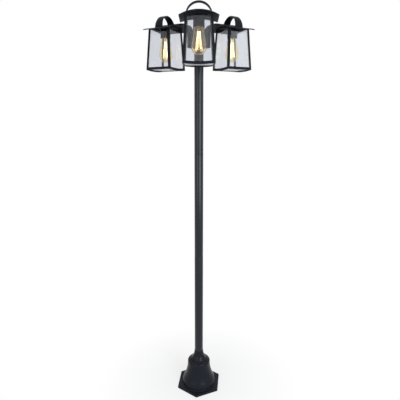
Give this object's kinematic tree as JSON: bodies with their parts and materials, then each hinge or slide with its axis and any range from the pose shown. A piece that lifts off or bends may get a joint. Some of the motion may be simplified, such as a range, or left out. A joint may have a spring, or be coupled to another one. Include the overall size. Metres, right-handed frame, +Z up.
{
  "type": "lamp post",
  "caption": "Outdoor lamp post: glazed tapered lantern heads with vaulted roofs and loop handles on strap arms round a slim sectional pole with a bell base on a hexagonal foot.",
  "frame": {"origin": "middle of the foot on the ground, on the pole's axis", "axes": "+Z up along the pole, -Y towards the front lantern, +X to the right as seen from the front"},
  "size_m": [0.542, 0.4894, 1.94],
  "materials": {
    "body_paint": "fine textured matt black powder coat",
    "cast_paint": "matt black powder coat on cast aluminium",
    "zinc_steel": "zinc plated",
    "clear_glass": "clear, slightly grey",
    "satin_glass": "satin",
    "socket_ceramic": "glazed",
    "cap_metal": "bright",
    "bulb_glass": "amber tinted, clear",
    "filament": "glowing wire"
  },
  "bodies": {
    "post": {"base_casting": "cast_paint", "base_collar": "cast_paint", "base_lock_screws": "zinc_steel", "anchor_plate": "zinc_steel", "pole_lower": "body_paint", "pole_middle": "body_paint", "pole_upper": "body_paint", "coupler_lower": "zinc_steel", "coupler_upper": "zinc_steel", "head_hub": "cast_paint", "hub_cap": "cast_paint", "arm_screws": "zinc_steel", "nipple_nuts": "zinc_steel", "lantern_frame_front": "body_paint", "roof_front": "body_paint", "loop_handle_front": "body_paint", "strap_arm_front": "body_paint", "glass_outer_front": "clear_glass", "glass_inner_front": "clear_glass", "glass_side_a_front": "clear_glass", "glass_side_b_front": "clear_glass", "glass_bottom_front": "satin_glass", "lampholder_front": "body_paint", "socket_insert_front": "socket_ceramic", "nipple_front": "zinc_steel", "lantern_frame_left": "body_paint", "roof_left": "body_paint", "loop_handle_left": "body_paint", "strap_arm_left": "body_paint", "glass_outer_left": "clear_glass", "glass_inner_left": "clear_glass", "glass_side_a_left": "clear_glass", "glass_side_b_left": "clear_glass", "glass_bottom_left": "satin_glass", "lampholder_left": "body_paint", "socket_insert_left": "socket_ceramic", "nipple_left": "zinc_steel", "lantern_frame_right": "body_paint", "roof_right": "body_paint", "loop_handle_right": "body_paint", "strap_arm_right": "body_paint", "glass_outer_right": "clear_glass", "glass_inner_right": "clear_glass", "glass_side_a_right": "clear_glass", "glass_side_b_right": "clear_glass", "glass_bottom_right": "satin_glass", "lampholder_right": "body_paint", "socket_insert_right": "socket_ceramic", "nipple_right": "zinc_steel"},
    "bulb_front": {"bulb_cap_front": "cap_metal", "bulb_glass_front": "bulb_glass", "bulb_filament_front": "filament"},
    "bulb_left": {"bulb_cap_left": "cap_metal", "bulb_glass_left": "bulb_glass", "bulb_filament_left": "filament"},
    "bulb_right": {"bulb_cap_right": "cap_metal", "bulb_glass_right": "bulb_glass", "bulb_filament_right": "filament"}
  },
  "joints": [
    {"name": "bulb_front_screw", "type": "hinge", "parent": "post", "child": "bulb_front", "pos_m": [0, -0.19, 1.857], "axis": [0, 0, -1], "range_deg": [0, 1080]},
    {"name": "bulb_left_screw", "type": "hinge", "parent": "post", "child": "bulb_left", "pos_m": [-0.16454, 0.095, 1.857], "axis": [0, 0, -1], "range_deg": [0, 1080]},
    {"name": "bulb_right_screw", "type": "hinge", "parent": "post", "child": "bulb_right", "pos_m": [0.16454, 0.095, 1.857], "axis": [0, 0, -1], "range_deg": [0, 1080]}
  ]
}
